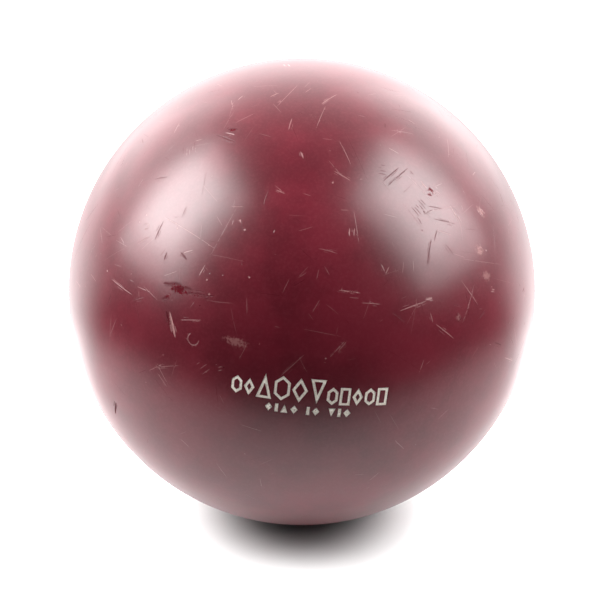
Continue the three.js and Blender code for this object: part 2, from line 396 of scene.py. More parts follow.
# Scuffs: place, how it is turned, length and width in mm, and pale (+) or dark (-) strength.
SCUFFS = [
    (-52, 1, -5, 11.0, 5.5, -0.8), (-45, -1, -8, 9.0, 2.4, -0.6), (-57, -2, 10, 4.5, 3.0, -0.7),
    (-28, -21, -10, 13.0, 4.6, 0.75), (55, 43, -30, 5.5, 7.0, -0.42),
    (77, 18, -13, 6.5, 5.5, 0.8), (80, 7, -14, 6.0, 5.5, 0.8), (78, 35, -70, 7.5, 3.4, 0.75),
    (67, -11, -13, 4.0, 4.0, 0.5), (-30, 70, 9, 5.5, 2.4, -0.6),
    (8, 75, -20, 26.0, 14.0, 0.15), (-93, -25, 30, 30.0, 18.0, 0.12),
]
# Nicks with pale grain in them, and nicks painted dark.
SPECKS = [
    (13, 46), (-67, 33), (-85, 9), (-26, 30), (-22, 6), (-24, 26), (-40, 5), (-39, -1), (-70, 30),
    (10, -28), (-53, 27), (80, 18),
]
DARK_SPECKS = [(-43, -6), (52, 34), (-33, -32), (51, 26)]
SPECK_SIZE = (1.2, 0.7, 0.05)  # length, width and depth
SPECK_TONE = 0.8
CUT_SPACING = 1.2
LISTED_BOW = 0.1  # how far a listed cut's middle stands off the straight line between its ends
DEEPEST_SCRATCH = 0.05  # unless a cut's own depth is given
LONG_CUT = 9  # a listed cut longer than this has two companions
MOUTH_CLEARANCE = 3.5  # what a random cut keeps from a hole's edge, beyond half its length
MARK_CLEARANCE = 2.0


def seen(x, y):
    """The direction on the ball of a place that is given as the photo shows it."""
    tilt = math.radians(VIEW_ELEVATION)
    up = np.array([0, math.sin(tilt), math.cos(tilt)])
    out = np.array([0, -math.cos(tilt), math.sin(tilt)])
    x, y = x / BALL_RADIUS, y / BALL_RADIUS
    return np.array([x, 0, 0]) + up * y + out * math.sqrt(max(0.0, 1 - x * x - y * y))


def laid_on_ball(x, y, turn, length, width, tone, depth=None):
    """A listed cut as it lies on the ball, longer than it looks where the ball curves away."""
    reach = np.array([math.cos(math.radians(turn)), math.sin(math.radians(turn))]) * length / 2
    start, end = seen(x - reach[0], y - reach[1]), seen(x + reach[0], y + reach[1])
    middle = place_of((start + end) / np.linalg.norm(start + end))
    right, up, _ = ball_axes(*middle)
    heading = math.degrees(math.atan2((end - start) @ up, (end - start) @ right))
    real_length = BALL_RADIUS * math.acos(min(1.0, start @ end))
    depth = depth or min(width * 0.1, DEEPEST_SCRATCH)
    return (*middle, heading, real_length, width, depth, LISTED_BOW, tone)


class Cut:
    """A V-shaped groove with low raised lips, tapering to nothing at both ends."""

    PROFILE_AT = (0.0, 1.0, 1.7)  # distances from the middle line, in half widths

    def __init__(self, azimuth, elevation, heading, length, width, depth, bow, tone):
        self.axes = ball_axes(azimuth, elevation, heading)
        self.length, self.half, self.depth = length, width / 2, depth
        self.bow, self.tone = bow, tone
        self.lip = depth * 0.12

    def points(self):
        """Points along the groove's floor, its edges and the feet of its lips."""
        steps = max(3, math.ceil(self.length / CUT_SPACING) + 1)
        t = np.linspace(0, 1, steps)
        x = (t - 0.5) * self.length
        middle = self.bow * (1 - (2 * t - 1) ** 2)
        rows = [on_ball(self.axes, x, middle)]
        half = self.half * self.taper(t)[1:-1]
        for side in (-1, 1):
            for out in self.PROFILE_AT[1:]:
                rows.append(on_ball(self.axes, x[1:-1], middle[1:-1] + side * out * half))
        return np.concatenate(rows)

    @staticmethod
    def taper(t):
        """The groove's share of its full width and depth at t, from 0 to 1 along it."""
        return np.sqrt(np.clip(np.sin(math.pi * np.clip(t, 0, 1)), 0, 1)) * 0.98 + 0.02

    def measure(self, points):
        """Which points the cut reaches, their height off the ball in mm, and how strongly."""
        right, up, out = self.axes
        reach = (self.length / 2 + 2 + abs(self.bow)) / BALL_RADIUS
        near = np.nonzero(points @ out > math.cos(reach))[0]
        chosen = points[near]
        x, y = chosen @ right, chosen @ up
        sine = np.hypot(x, y)
        scale = np.arcsin(np.clip(sine, 0, 1)) / np.maximum(sine, 1e-9) * BALL_RADIUS
        t = x * scale / self.length + 0.5
        taper = self.taper(t)
        away = np.abs(y * scale - self.bow * (1 - (2 * t - 1) ** 2)) / (self.half * taper)
        inside = (t > 0.001) & (t < 0.999) & (away < self.PROFILE_AT[2])
        near, away, taper = near[inside], away[inside], taper[inside]
        height = np.interp(away, self.PROFILE_AT, (-self.depth, self.lip, 0)) * taper
        strength = np.interp(away, self.PROFILE_AT, (1, 0.7, 0))
        return near, height, strength


def chatter_cuts():
    """The parallel cuts, a little uneven in place and length."""
    cuts = []
    for x, y, heading, count, step, length, width, tone in CHATTER:
        axes = ball_axes(*place_of(seen(x, y)), heading)
        for i in range(count):
            across = (i - (count - 1) / 2) * step
            along = 0.8 * math.sin(i * 2.4)
            spot = place_of(on_ball(axes, along, across))
            size = length * (0.7 + 0.3 * math.sin(i * 1.7 + 1))
            cuts.append(Cut(*spot, heading, size, width, width * 0.1, 0.1, tone))
    return cuts


def ring_cuts():
    """Short straight cuts laid end to end round a ring, apart from its gap."""
    cuts = []
    for x, y, radius, width, tone, gap_start, gap_end in RINGS:
        axes = ball_axes(*place_of(seen(x, y)))
        for angle in range(gap_end, gap_start + 360, 24):
            a = math.radians(angle)
            spot = on_ball(axes, radius * math.cos(a), radius * math.sin(a))
            size = radius * 0.5
            cuts.append(Cut(*place_of(spot), angle + 90, size, width, width * 0.2, 0.0, tone))
    return cuts


def speck_cuts():
    """Nicks about as wide as they are long."""
    cuts = []
    for specks, tone in ((SPECKS, SPECK_TONE), (DARK_SPECKS, -SPECK_TONE)):
        for i, (x, y) in enumerate(specks):
            cuts.append(Cut(*place_of(seen(x, y)), 50 * i, *SPECK_SIZE, 0.0, tone))
    return cuts


def random_spot(chance):
    """A place and heading anywhere on the ball, but seldom low down, where wear is rare."""
    height = chance.uniform(-0.98, 0.98)
    if height < -0.15 and chance.random() < 0.6:
        height = -height
    return math.degrees(math.asin(height)), chance.uniform(-180, 180), chance.uniform(0, 180)


def random_cuts(count):
    """Fine hairlines all over the ball, most of them faint and short."""
    chance = np.random.default_rng(SEED)
    cuts = []
    for _ in range(count):
        elevation, azimuth, heading = random_spot(chance)
        length = float(np.clip(chance.lognormal(2.0, 0.6), 2.5, 36))
        width = chance.uniform(0.12, 0.24)
        bow = chance.uniform(-0.015, 0.015) * length
        tone = chance.uniform(0.08, 0.5) * (1 if chance.random() < 0.6 else -1)
        cuts.append(Cut(azimuth, elevation, heading, length, width, width * 0.1, bow, tone))
    return cuts


def random_pits(count):
    """Tiny nicks, wider for their length than the scratches."""
    chance = np.random.default_rng(SEED + 1)
    cuts = []
    for _ in range(count):
        elevation, azimuth, heading = random_spot(chance)
        length = chance.uniform(0.6, 1.8)
        width = chance.uniform(0.2, 0.5)
        tone = chance.uniform(0.1, 0.45) * (1 if chance.random() < 0.5 else -1)
        cuts.append(Cut(azimuth, elevation, heading, length, width, width * 0.12, 0.0, tone))
    return cuts


def companions(row):
    """Fainter strands beside a listed cut, as a dragged grain leaves them."""
    azimuth, elevation, heading, length, width, depth, bow, tone = row
    chance = np.random.default_rng(SEED + 2 + int(abs(azimuth * 13) + abs(elevation * 7)))
    axes = ball_axes(azimuth, elevation, heading)
    cuts = []
    for side in (-1, 1) if length > LONG_CUT else (-1,):
        along, across = chance.uniform(-0.3, 0.3) * length, side * chance.uniform(0.55, 1.3)
        spot = place_of(on_ball(axes, along, across))
        turned = heading + chance.uniform(-4, 4)
        size = length * chance.uniform(0.25, 0.6)
        cuts.append(Cut(*spot, turned, size, width * 0.6, depth * 0.6, bow * 0.3, tone * 0.5))
    return cuts


def clear_of_features(cut):
    """A random cut stays off the mark and away from the holes' mouths."""
    middle = cut.axes[2]
    reach = cut.length / 2 + MOUTH_CLEARANCE
    for hole in HOLES:
        mouth = hole.mouth / np.linalg.norm(hole.mouth)
        if math.acos(min(1, middle @ mouth)) * BALL_RADIUS < hole.radius + reach:
            return False
    ends = on_ball(cut.axes, np.linspace(-0.5, 0.5, 9) * cut.length, np.zeros(9))
    for glyph in GLYPHS:
        gap = np.arccos(np.clip(ends @ glyph.axes[2], -1, 1)).min() * BALL_RADIUS
        if gap < max(glyph.corners.max(axis=0)) + MARK_CLEARANCE:
            return False
    return True


# -------- the cover
LATTICE_SPACING = 2.1
INNER_SPACING = 9.0
INNER_CLEARANCE = 1.5
FEATURE_CLEARANCE = 0.55
ENGRAVED = -0.85
GROOVE_DRAFT = 0.12
SCUFF_SPACING = 0.8
BROAD_SCUFF = 20  # a scuff this long is shaded on the lattice's own points
STEEP = 0.012  # the difference in height, in mm, from which a face is shaded as a wall
HAIRLINES = 680
PITS = 170
WALL_RINGS = (0.3, 0.65)  # how far down a hole's wall its rings lie, in cover thicknesses
JUST_INSIDE = 0.97  # share of the bevel's width: faces nearer to the hole's axis are taken out


class SurfacePoints:
    """Directions to be triangulated, with the height that belongs to each."""

    def __init__(self):
        self.blocks, self.heights, self.edges, self.count = [], [], [], 0

    def add(self, points, height=0.0, loop=False):
        first = self.count
        self.blocks.append(points)
        self.heights.append(np.broadcast_to(height, len(points)).astype(float))
        self.count += len(points)
        if loop:
            n = len(points)
            self.edges += [(first + i, first + (i + 1) % n) for i in range(n)]
        return range(first, self.count)

    def all_points(self):
        return np.concatenate(self.blocks)


def engrave(surface):
    """The grooves of the mark: a rim on the surface and a floor loop inside it."""
    for glyph in GLYPHS:
        surface.add(glyph.on_ball(0.0), 0.0, loop=True)
        surface.add(glyph.on_ball(-GROOVE_DRAFT), ENGRAVED, loop=True)
        if not glyph.solid:
            surface.add(glyph.on_ball(GROOVE_DRAFT - STROKE), ENGRAVED, loop=True)
            surface.add(glyph.on_ball(-STROKE), 0.0, loop=True)


def scuff_points(azimuth, elevation, heading, length, width, _strength):
    """A fine grid of points under a scuff, so that its edge is not the lattice's."""
    axes = ball_axes(azimuth, elevation, heading)
    xs = np.arange(-length / 2, length / 2, SCUFF_SPACING)
    ys = np.arange(-width / 2, width / 2, SCUFF_SPACING)
    x, y = (grid.ravel() for grid in np.meshgrid(xs, ys))
    inside = (2 * x / length) ** 2 + (2 * y / width) ** 2 < 1.1
    return on_ball(axes, x[inside] + 0.37 * SCUFF_SPACING, y[inside])


def scuff_strength(points, azimuth, elevation, heading, length, width, strength):
    """How strongly a scuff marks each point: full in its middle, none beyond its edge."""
    right, up, out = ball_axes(azimuth, elevation, heading)
    x, y = points @ right * BALL_RADIUS, points @ up * BALL_RADIUS
    away = np.sqrt((2 * x / length) ** 2 + (2 * y / width) ** 2)
    return np.where(points @ out > 0, np.clip(1.25 - away, 0, 1), 0) * abs(strength)


def cover_surface():
    """The outer skin: directions, heights, faces, wear values and the rims of the holes."""
    surface = SurfacePoints()
    rims = []
    for hole in HOLES:
        rim = hole.ring(hole.radius + hole.bevel, sphere=BALL_RADIUS)
        rims.append(surface.add(rim / BALL_RADIUS, 0.0, loop=True))
    engrave(surface)
    fixed = surface.count

    listed = [laid_on_ball(*row) for row in CUTS]
    cuts = [Cut(*row) for row in listed] + chatter_cuts() + ring_cuts() + speck_cuts()
    for row in listed:
        cuts += companions(row)
    cuts += [cut for cut in random_cuts(HAIRLINES) + random_pits(PITS) if clear_of_features(cut)]
    for cut in cuts:
        surface.add(cut.points())
    scuffs = [(*place_of(seen(x, y)), *shape) for x, y, *shape in SCUFFS]
    for scuff in scuffs:
        if scuff[3] < BROAD_SCUFF:
            surface.add(scuff_points(*scuff))
    features = surface.all_points()
    surface.add(thin_out(fibonacci(LATTICE_SPACING, BALL_RADIUS), features,
                         FEATURE_CLEARANCE, BALL_RADIUS))
    points = surface.all_points()
    heights = np.concatenate(surface.heights)

    # Wear values: the grooves' pale and dark tones, partly their own and partly painted glints and
    # painted shade, then scuffs and smears.
    wear = np.zeros((len(points), 4))
    lows, highs = np.zeros(len(points)), np.zeros(len(points))
    for cut in cuts:
        near, height, strength = cut.measure(points)
        lows[near] = np.minimum(lows[near], height)
        highs[near] = np.maximum(highs[near], height)
        channel = 0 if cut.tone > 0 else 1
        wear[near, channel] = np.maximum(wear[near, channel], strength * abs(cut.tone))
    worn = np.where(lows < 0, lows, highs)
    heights[fixed:] += worn[fixed:]
    for scuff in scuffs:
        channel = 2 if scuff[5] > 0 else 3
        wear[:, channel] = np.maximum(wear[:, channel], scuff_strength(points, *scuff))

    faces = triangulate(points, surface.edges, pin_hole.axis)
    middles = points[faces].mean(axis=1) * BALL_RADIUS
    solid = np.ones(len(faces), bool)
    for hole in HOLES:
        solid &= ~hole.holds(middles, hole.radius + hole.bevel * JUST_INSIDE)
    return points, heights, faces[solid], wear, rims


def inner_surface():
    """The cavity's skin, with the same holes."""
    surface = SurfacePoints()
    rims = []
    for hole in HOLES:
        rim = hole.ring(hole.radius, sphere=INNER_RADIUS)
        rims.append(surface.add(rim / INNER_RADIUS, loop=True))
    surface.add(thin_out(fibonacci(INNER_SPACING, INNER_RADIUS), surface.all_points(),
                         INNER_CLEARANCE, INNER_RADIUS))
    points = surface.all_points()
    faces = triangulate(points, surface.edges, pin_hole.axis)
    middles = points[faces].mean(axis=1) * INNER_RADIUS
    solid = np.ones(len(faces), bool)
    for hole in HOLES:
        solid &= ~hole.holds(middles, hole.radius * 0.995)
    return points, faces[solid], rims


def outward(vertices, faces):
    """Faces turned so that their normals point away from the ball's centre."""
    corners = vertices[faces]
    normal = np.cross(corners[:, 1] - corners[:, 0], corners[:, 2] - corners[:, 0])
    inward = (normal * corners.mean(axis=1)).sum(axis=1) < 0
    faces = faces.copy()
    faces[inward] = faces[inward][:, ::-1]
    return faces


def make_cover(material):
    points, heights, faces, wear, rims = cover_surface()
    vertices = points * (BALL_RADIUS + heights)[:, None]
    faces = outward(points, faces)
    inner_points, inner_faces, inner_rims = inner_surface()
    inner_faces = outward(inner_points, inner_faces)[:, ::-1] + len(vertices)
    all_vertices = [vertices, inner_points * INNER_RADIUS]
    all_faces = faces.tolist() + inner_faces.tolist()
    count = len(vertices) + len(inner_points)
    for hole, rim, inner_rim in zip(HOLES, rims, inner_rims):
        bevel = hole.bevel
        rings = [
            hole.ring(hole.radius + bevel * 0.3, sphere=BALL_RADIUS - bevel * 0.3),
            hole.ring(hole.radius, sphere=BALL_RADIUS - bevel),
        ]
        rings += [hole.ring(hole.radius, sphere=BALL_RADIUS - COVER_THICKNESS * share)
                  for share in WALL_RINGS]
        starts = [rim[0]] + [count + i * RING_POINTS for i in range(len(rings))]
        starts.append(len(vertices) + inner_rim[0])
        for first, second in zip(starts, starts[1:]):
            all_faces += bridge(first, second)
        all_vertices += rings
        count += RING_POINTS * len(rings)
    joined = np.concatenate(all_vertices)
    piece = add_object("cover_shell", joined, all_faces, material)
    mesh = piece.data
    values = np.zeros((len(joined), 4), np.float32)
    values[: len(wear)] = wear
    attribute = mesh.attributes.new("wear", "FLOAT_COLOR", "POINT")
    attribute.data.foreach_set("color", values.ravel())
    set_cover_normals(mesh, joined, len(vertices), heights)
    return piece


def set_cover_normals(mesh, vertices, skin_count, heights):
    """The skin is shaded as a true ball, and every wall that is steep enough as it lies."""
    radial = vertices / np.linalg.norm(vertices, axis=1)[:, None]
    height = np.zeros(len(vertices))
    height[:skin_count] = heights
    loops = np.empty(len(mesh.loops), np.int32)
    mesh.loops.foreach_get("vertex_index", loops)
    sizes = np.empty(len(mesh.polygons), np.int32)
    mesh.polygons.foreach_get("loop_total", sizes)
    owner = np.repeat(np.arange(len(sizes)), sizes)
    face_normals = np.empty(len(sizes) * 3, np.float32)
    mesh.polygon_normals.foreach_get("vector", face_normals)
    face_normals = face_normals.reshape(-1, 3)
    lowest, highest = np.full(len(sizes), np.inf), np.full(len(sizes), -np.inf)
    np.minimum.at(lowest, owner, height[loops])
    np.maximum.at(highest, owner, height[loops])
    touched = highest - lowest > STEEP
    np.logical_or.at(touched, owner, loops >= skin_count)
    normals = np.where(touched[owner][:, None], face_normals[owner], radial[loops])
    mesh.normals_split_custom_set(normals.tolist())


# -------- the pieces inside the holes
def make_insert(name, hole, material):
    """A soft finger grip: a tube with a rounded lip just under the ball's surface."""
    outer, bore, length = hole.radius - LINER_GAP, 8.75, 28.6
    lip = [
        (outer, 1.5), (outer - 0.05, 0.95), (outer - 0.25, 0.62), (outer - 0.6, 0.45),
        (outer - 1.1, 0.38), (bore + 1.7, 0.42), (bore + 1.1, 0.62), (bore + 0.6, 1.05),
        (bore + 0.25, 1.8), (bore + 0.05, 3.0),
    ]
    rings = [hole.ring(outer - 0.4, depth=length), hole.ring(outer, depth=length - 0.4)]
    rings.append(hole.ring(outer, depth=12))
    rings += [hole.ring(radius, sphere=BALL_RADIUS - below) for radius, below in lip]
    rings += [hole.ring(bore, depth=depth) for depth in (9, 14, 19, 24)]
    rings += [hole.ring(bore, depth=length - 0.4), hole.ring(bore + 0.4, depth=length)]
    vertices, faces = lathe_rings(rings, closed=True)
    return add_object(name, vertices, faces, material)


def make_slug(material):
    """The thumb slug: a solid plug with a blind bore and a generous bevel at its mouth."""
    outer, bore, length, bore_depth = thumb.radius - LINER_GAP, 12.0, 69.9, 63.5
    lip = [
        (outer, 1.2), (outer - 0.05, 0.6), (outer - 0.2, 0.3), (outer - 0.5, 0.16),
        (outer - 1.0, 0.14), (bore + 2.5, 0.35), (bore + 1.8, 0.75), (bore + 1.1, 1.5),
        (bore + 0.55, 2.6), (bore + 0.2, 4.0), (bore + 0.03, 5.8),
    ]
    rings = [thumb.ring(radius, depth=length) for radius in (0.01, 8, outer - 0.8)]
    rings += [thumb.ring(outer, depth=length - 0.8), thumb.ring(outer, depth=35)]
    rings += [thumb.ring(radius, sphere=BALL_RADIUS - below) for radius, below in lip]
    rings += [thumb.ring(bore, depth=depth) for depth in (14, 26, 38, 50, bore_depth - 3)]
    rings += [
        thumb.ring(bore * math.cos(a), depth=bore_depth - 3 + 3 * math.sin(a))
        for a in np.linspace(0.3, 1.35, 4)
    ]
    rings.append(thumb.ring(0.01, depth=bore_depth))
    vertices, faces = lathe_rings(rings, closed=False)
    return add_object("thumb_slug_lined", vertices, faces, material)


def make_pin(material):
    """The pin's plug, domed flush with the cover."""
    radius = PIN_RADIUS - 0.05
    rings = [pin_hole.ring(r, sphere=INNER_RADIUS + 0.2) for r in (0.01, 3, radius - 0.2)]
    rings += [pin_hole.ring(radius, sphere=BALL_RADIUS - d) for d in (24, 16, 8, 0.25)]
    rings += [pin_hole.ring(r, sphere=BALL_RADIUS - 0.05) for r in (radius - 0.15, 4.4, 2.8, 1.4)]
    rings.append(pin_hole.ring(0.01, sphere=BALL_RADIUS - 0.05))
    vertices, faces = lathe_rings(rings, closed=False)
    return add_object("core_pin_plug", vertices, faces, material)


def make_fill(number, glyph, material):
    """The paint in one engraved glyph, slightly sunk and dished."""
    def shell(offset, height):
        return glyph.on_ball(offset) * (BALL_RADIUS + height)

    floor = ENGRAVED + 0.02
    if glyph.solid:
        middle = glyph.axes[2]
        rings = [np.repeat((middle * (BALL_RADIUS + floor))[None], len(glyph.loop(0)), axis=0)]
        rings += [shell(-GROOVE_DRAFT, floor), shell(-0.03, -0.08), shell(-0.3, -0.13)]
        rings.append(np.repeat((middle * (BALL_RADIUS - 0.15))[None], len(glyph.loop(0)), axis=0))
    else:
        rings = [
            shell(-GROOVE_DRAFT, floor), shell(-0.03, -0.08), shell(-0.25, -0.13),
            shell(-STROKE / 2, -0.15), shell(0.25 - STROKE, -0.13), shell(0.03 - STROKE, -0.08),
            shell(GROOVE_DRAFT - STROKE, floor),
        ]
    vertices, faces = lathe_rings(rings, closed=not glyph.solid)
    return add_object(f"mark_paint_{number:02d}", vertices, faces, material)


def tidy_mesh(piece):
    """Welds points that coincide and turns every face outwards."""
    shape = bmesh.new()
    shape.from_mesh(piece.data)
    bmesh.ops.remove_doubles(shape, verts=shape.verts, dist=WELD * MM)
    bmesh.ops.recalc_face_normals(shape, faces=shape.faces)
    shape.to_mesh(piece.data)
    shape.free()


# -------- materials
class Nodes:
    """A node tree, with short calls for the nodes that are used here."""

    def __init__(self, tree):
        self.tree = tree
        tree.nodes.clear()

    def add(self, kind, **settings):
        node = self.tree.nodes.new(kind)
        for key, value in settings.items():
            setattr(node, key, value)
        return node

    def link(self, source, target):
        self.tree.links.new(source, target)

    def feed(self, target, value):
        if isinstance(value, bpy.types.NodeSocket):
            self.link(value, target)
        else:
            target.default_value = value

    def ramp(self, value, low, high, out_low=0.0, out_high=1.0):
        node = self.add("ShaderNodeMapRange", interpolation_type="SMOOTHSTEP")
        self.link(value, node.inputs["Value"])
        for key, number in zip(("From Min", "From Max", "To Min", "To Max"),
                               (low, high, out_low, out_high)):
            node.inputs[key].default_value = number
        return node.outputs["Result"]

    def math(self, operation, first, second=0.0, clamp=False):
        node = self.add("ShaderNodeMath", operation=operation, use_clamp=clamp)
        self.feed(node.inputs[0], first)
        self.feed(node.inputs[1], second)
        return node.outputs["Value"]

    def mix(self, factor, first, second, kind="RGBA"):
        node = self.add("ShaderNodeMix", data_type=kind)
        self.feed(node.inputs["Factor"], factor)
        self.feed(node.inputs["A"], first)
        self.feed(node.inputs["B"], second)
        return node.outputs["Result"]


class MaterialNodes(Nodes):
    """A material's nodes round one shader."""

    def __init__(self, name):
        self.material = bpy.data.materials.new(name)
        self.material.use_nodes = True
        super().__init__(self.material.node_tree)
        self.shader = self.add("ShaderNodeBsdfPrincipled")
        output = self.add("ShaderNodeOutputMaterial")
        self.link(self.shader.outputs["BSDF"], output.inputs["Surface"])
        self.place = self.add("ShaderNodeTexCoord").outputs["Object"]

    def noise(self, scale, detail=3.0, roughness=0.5):
        """Noise over the object; scale is in features per metre."""
        node = self.add("ShaderNodeTexNoise")
        node.inputs["Scale"].default_value = scale
        node.inputs["Detail"].default_value = detail
        node.inputs["Roughness"].default_value = roughness
        self.link(self.place, node.inputs["Vector"])
        return node.outputs["Fac"]

    def bump(self, height, strength, distance):
        node = self.add("ShaderNodeBump")
        node.inputs["Strength"].default_value = strength
        node.inputs["Distance"].default_value = distance
        self.link(height, node.inputs["Height"])
        return node.outputs["Normal"]

    def set(self, **inputs):
        for key, value in inputs.items():
            self.feed(self.shader.inputs[key.replace("_", " ")], value)


def colour(red, green, blue):
    """A colour given in 0-255 display values, as Blender's linear RGBA."""
    def linear(v):
        v /= 255
        return v / 12.92 if v <= 0.04045 else ((v + 0.055) / 1.055) ** 2.4
    return (linear(red), linear(green), linear(blue), 1.0)


def cover_material():
    nodes = MaterialNodes("burgundy_urethane")
    wear = nodes.add("ShaderNodeAttribute", attribute_name="wear")
    split = nodes.add("ShaderNodeSeparateColor")
    nodes.link(wear.outputs["Color"], split.inputs["Color"])
    pale, dark, scuff = (split.outputs[key] for key in ("Red", "Green", "Blue"))
    grime = wear.outputs["Alpha"]

    smoke = nodes.ramp(nodes.noise(26, 5.0, 0.6), 0.35, 0.68)
    body = nodes.mix(smoke, colour(76, 15, 26), colour(96, 23, 36))
    haze = nodes.ramp(nodes.noise(9, 2.0), 0.45, 0.75, 0.0, 0.25)
    body = nodes.mix(haze, body, colour(102, 32, 43))
    grain = nodes.ramp(nodes.noise(800, 3.0, 0.6), 0.4, 0.75, 0.0, 0.07)
    body = nodes.mix(grain, body, colour(150, 84, 92))

    break_up = nodes.ramp(nodes.noise(900, 3.0, 0.6), 0.35, 0.65)
    patch = nodes.ramp(nodes.math("SUBTRACT", scuff, nodes.math("MULTIPLY", break_up, 0.45)),
                       0.0, 0.5)
    smear = nodes.ramp(nodes.math("SUBTRACT", grime, nodes.math("MULTIPLY", break_up, 0.5)),
                       0.0, 0.5)
    worn = nodes.mix(nodes.math("MULTIPLY", patch, 0.6), body, colour(138, 92, 90))
    worn = nodes.mix(nodes.math("MULTIPLY", smear, 0.6), worn, colour(88, 14, 25))
    # Dark grooves: partly dirt, and partly painted shade where a groove breaks a highlight.
    worn = nodes.mix(nodes.math("MULTIPLY", dark, 0.8), worn, colour(60, 10, 17))
    # Pale grooves: partly frosted urethane, and partly painted glints where a groove in the dark
    # catches the softboxes.
    worn = nodes.mix(nodes.math("MULTIPLY", pale, 0.65), worn, colour(205, 162, 158))

    groove = nodes.math("MAXIMUM", pale, dark)
    rough = nodes.math("ADD", nodes.math("MULTIPLY", nodes.noise(60, 3.0), 0.06), 0.27)
    dulled = nodes.math("MAXIMUM", nodes.math("MULTIPLY", patch, 0.2),
                        nodes.math("MULTIPLY", smear, 0.9))
    rough = nodes.math("ADD", rough, nodes.math("MAXIMUM", dulled,
                                                nodes.math("MULTIPLY", groove, 0.2)), clamp=True)
    gloss = nodes.math("SUBTRACT", 1.0, nodes.math("MAXIMUM", dulled,
                                                   nodes.math("MULTIPLY", dark, 0.9)))
    normal = nodes.bump(nodes.noise(420, 2.0), 0.03, 0.0002)
    nodes.set(Base_Color=worn, Roughness=rough, Normal=normal, IOR=1.5)
    nodes.set(Specular_IOR_Level=nodes.math("MULTIPLY", gloss, 0.5))
    nodes.set(Coat_Weight=nodes.math("MULTIPLY", gloss, 0.7), Coat_IOR=1.2, Coat_Roughness=0.22)
    nodes.set(Sheen_Weight=0.1, Sheen_Roughness=0.6, Sheen_Tint=colour(238, 70, 100))
    return nodes.material


def speckled_material(name, main, other, rough, speck_scale, bump=0.2):
    """A plain moulded or cast material: two tones, a fine grain and uneven gloss."""
    nodes = MaterialNodes(name)
    tone = nodes.mix(nodes.ramp(nodes.noise(speck_scale, 4.0, 0.6), 0.4, 0.62), main, other)
    cloud = nodes.ramp(nodes.noise(speck_scale / 8, 3.0), 0.3, 0.7, rough - 0.08, rough + 0.08)
    normal = nodes.bump(nodes.noise(speck_scale * 2, 3.0, 0.6), bump, 0.0002)
    nodes.set(Base_Color=tone, Roughness=cloud, Normal=normal)
    return nodes.material


COVER = cover_material()
PAINT = speckled_material("mark_paint", colour(253, 249, 238), colour(240, 230, 214), 0.6, 1400)
VINYL = speckled_material("finger_vinyl", colour(38, 37, 40), colour(48, 47, 50), 0.55, 1800)
SLUG = speckled_material("slug_urethane", colour(30, 29, 32), colour(39, 37, 41), 0.36, 700, 0.08)
PIN = speckled_material("pin_resin", colour(214, 198, 164), colour(193, 172, 138), 0.42, 900, 0.08)
FILLER = speckled_material("core_filler", colour(146, 138, 126), colour(118, 110, 100), 0.85, 500)
BLOCK = speckled_material("block_resin", colour(66, 62, 60), colour(88, 82, 78), 0.75, 600)


# -------- putting the ball together
def stand_in_for(piece, node):
    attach(piece, BODY)
    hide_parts(node)


cover = make_cover(COVER)
stand_in_for(cover, "coverstock")
for name, hole, node in (("finger_grip_upper", upper_finger, "finger_insert_upper"),
                         ("finger_grip_lower", lower_finger, "finger_insert_lower")):
    grip = make_insert(name, hole, VINYL)
    tidy_mesh(grip)
    stand_in_for(grip, node)
slug = make_slug(SLUG)
tidy_mesh(slug)
stand_in_for(slug, "thumb_slug")
pin = make_pin(PIN)
tidy_mesh(pin)
stand_in_for(pin, "core_pin")
for number, glyph in enumerate(GLYPHS, 1):
    fill = make_fill(number, glyph, PAINT)
    tidy_mesh(fill)
    stand_in_for(fill, f"mark_fill_{number:02d}")
for node, material in (("inner_core", FILLER), ("weight_block", BLOCK)):
    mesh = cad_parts[node].data
    mesh.materials.clear()
    mesh.materials.append(material)


# -------- the studio
FLOOR_SIZE = 6.0
ROUND = (1, 1, 1)
FOOT = 0.05  # the least distance, in metres, that directions on the table are worked out with
TABLE_WHITE = 0.73  # the table as the ball sees it
CONTACT_SHADE = (0.17, 0.66)  # and as the camera sees it: a painted contact shadow, darker where the ball touches it
CONTACT_WHITES = (0.2, 0.87)
TABLE_FADE = (0.8, 2.7)  # where the table's light dies away in front of the ball, in ball radii: its colour is painted darker there as shade
TABLE_NARROW = (0.6, 1.0, 1.0)  # it reaches further to the sides
SWEEP_TURN = (0.1, 0.6)  # how far behind the ball a spot lies: 0 is beside it, 1 straight behind
SWEEP_LIGHT = 2.1  # the far table's light there, as the ball sees it
SWEEP_DIP = (0.65, 1.0)  # where it weakens again, and by how much
SWEEP_LOSS = 0.8
CAMERA_WHITE = (0.5, 1.5)  # where the camera's view of the table burns out to white, in ball radii: a painted glow that fades the painted shadow out
SHADOW_NARROW = (1.45, 1.0, 1.0)  # it burns out sooner to the sides
WHITE_TABLE = (0.45, 1.3)  # metres from the ball within which the camera sees the table as white
PALE_WALL = 0.8  # what the camera sees beyond it, so that the ball's bright rim stands out there
BACKDROP_WHITE = 1.15
BACKDROP_EDGE = (0.55, 0.85)  # how far back a direction points where it meets the white backdrop
# The studio's light by how far a direction points backwards: -1 is the front, 1 straight behind.
STUDIO_LIGHT = [
    (-0.7, 0.0), (-0.4, 0.05), (0.0, 0.1), (0.4, 0.85), (0.7, 2.1), (0.9, 2.8), (1.0, 2.0),
]
SOFTBOX_DISTANCE = 0.95


